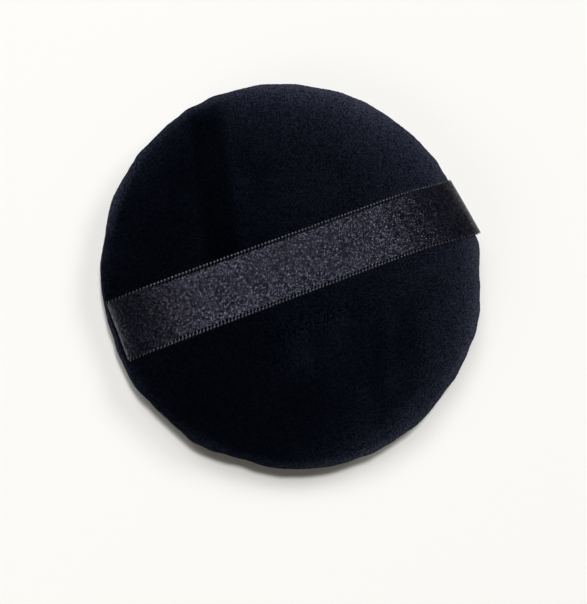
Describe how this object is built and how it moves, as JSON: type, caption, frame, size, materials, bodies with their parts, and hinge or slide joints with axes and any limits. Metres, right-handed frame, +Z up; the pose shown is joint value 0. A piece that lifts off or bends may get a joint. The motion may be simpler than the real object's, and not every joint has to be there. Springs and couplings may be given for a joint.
{
  "type": "powder puff",
  "caption": "Round black velour powder puff with a foam core and a black satin finger ribbon across the back, lying on its applicator face.",
  "frame": {"origin": "middle of the flat applicator face that the puff lies on", "axes": "+Z up, from the applicator face to the ribbon side; +X along the ribbon; +Y across the ribbon"},
  "size_m": [0.0814, 0.08, 0.0137],
  "materials": {
    "velour": "matte",
    "satin_ribbon": "satin",
    "sponge": "matte",
    "sewing_thread": "satin"
  },
  "bodies": {
    "pad_front": {"front_cover": "velour", "foam_core": "sponge"},
    "pad_back": {"back_cover": "velour", "ribbon_left_end": "satin_ribbon", "ribbon_right_end": "satin_ribbon", "seam_needle_thread": "sewing_thread", "seam_bobbin_thread": "sewing_thread", "closing_thread": "sewing_thread", "left_tack_thread": "sewing_thread", "right_tack_thread": "sewing_thread"},
    "ribbon": {"ribbon_span": "satin_ribbon"}
  },
  "joints": [
    {"name": "press", "type": "slide", "parent": "pad_front", "child": "pad_back", "axis": [0, 0, 1], "range_m": [-0.004, 0], "stiffness_N_per_m": 300, "deforming": ["front_cover", "foam_core"]},
    {"name": "ribbon_lift", "type": "slide", "parent": "pad_back", "child": "ribbon", "axis": [0, 0, 1], "range_m": [0, 0.01], "stiffness_N_per_m": 8}
  ]
}
